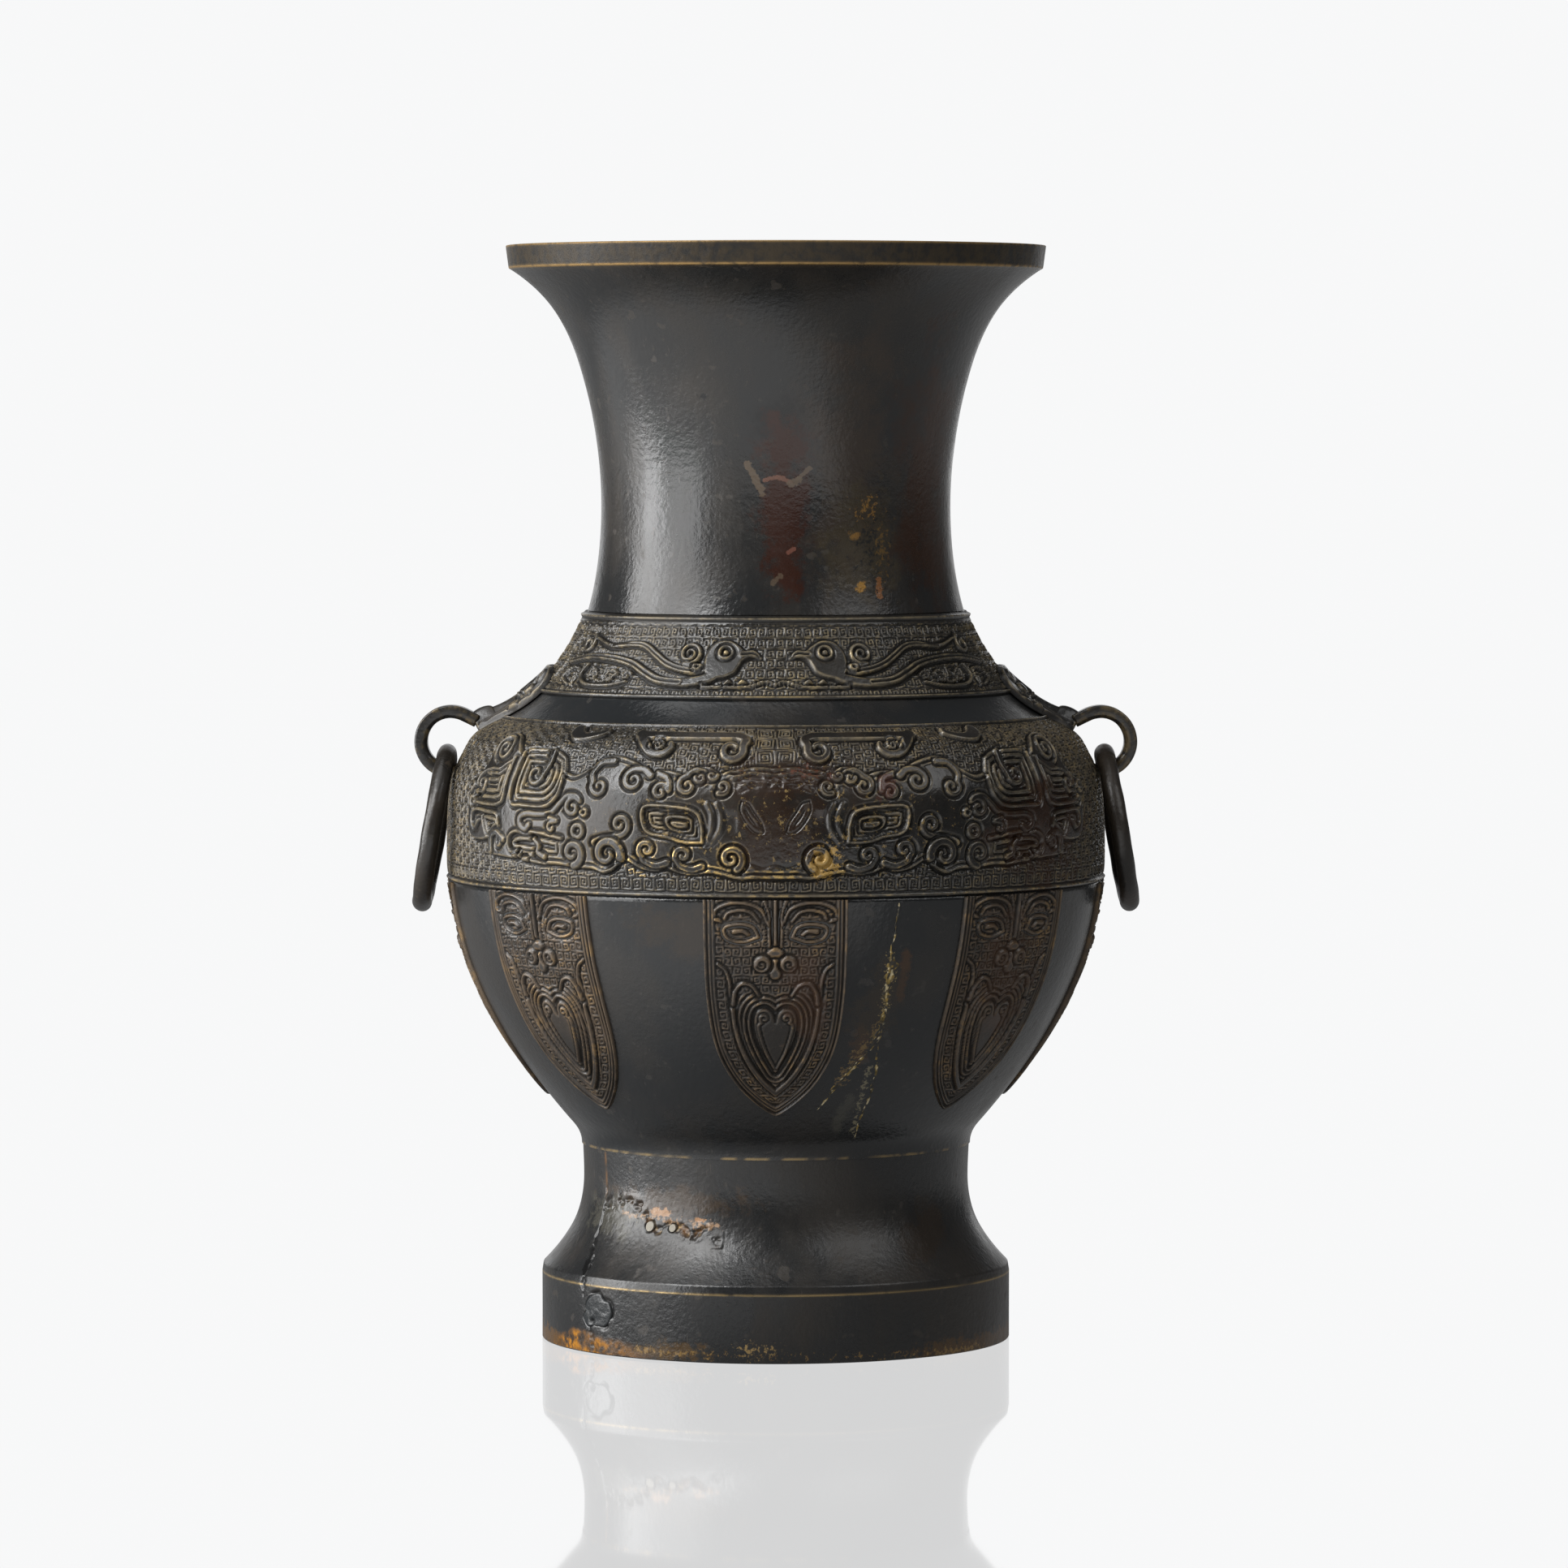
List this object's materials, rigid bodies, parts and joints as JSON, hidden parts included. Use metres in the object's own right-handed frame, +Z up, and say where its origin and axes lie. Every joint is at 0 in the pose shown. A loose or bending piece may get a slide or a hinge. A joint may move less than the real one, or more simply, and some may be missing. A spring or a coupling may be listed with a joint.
{
  "type": "bronze hu vessel",
  "caption": "Tall bronze hu vessel with a flared mouth, round ornamented belly and banded foot, and a mask handle on each shoulder that carries a loose ring.",
  "frame": {"origin": "centre of the face that the foot stands on", "axes": "+Z up along the vessel's axis, -Y towards the viewer, the handles on -X and +X"},
  "size_m": [0.3198, 0.2898, 0.48],
  "materials": {
    "bronze_body": "dark patinated bronze, satin",
    "bronze_handles": "dark patinated bronze, worn at the edges",
    "bronze_rings": "dark patinated bronze, satin",
    "pin_metal": "dull bronze",
    "plug_metal": "grey repair metal",
    "solder": "dull grey-green solder"
  },
  "bodies": {
    "vessel": {"neck": "bronze_body", "belly": "bronze_body", "foot": "bronze_body", "base_plate": "bronze_body", "right_mask": "bronze_handles", "left_mask": "bronze_handles", "right_loop": "bronze_handles", "left_loop": "bronze_handles", "right_mask_pins": "pin_metal", "left_mask_pins": "pin_metal", "foot_band_plug": "plug_metal", "foot_neck_plugs": "plug_metal", "belly_crack_solder": "solder"},
    "right_ring": {"right_ring": "bronze_rings"},
    "left_ring": {"left_ring": "bronze_rings"}
  },
  "joints": [
    {"name": "right_ring_hinge", "type": "hinge", "parent": "vessel", "child": "right_ring", "pos_m": [0.14457, 0, 0.25715], "axis": [0, -1, 0], "range_deg": [0, 200]},
    {"name": "left_ring_hinge", "type": "hinge", "parent": "vessel", "child": "left_ring", "pos_m": [-0.14457, 0, 0.25715], "axis": [0, 1, 0], "range_deg": [0, 200]}
  ]
}
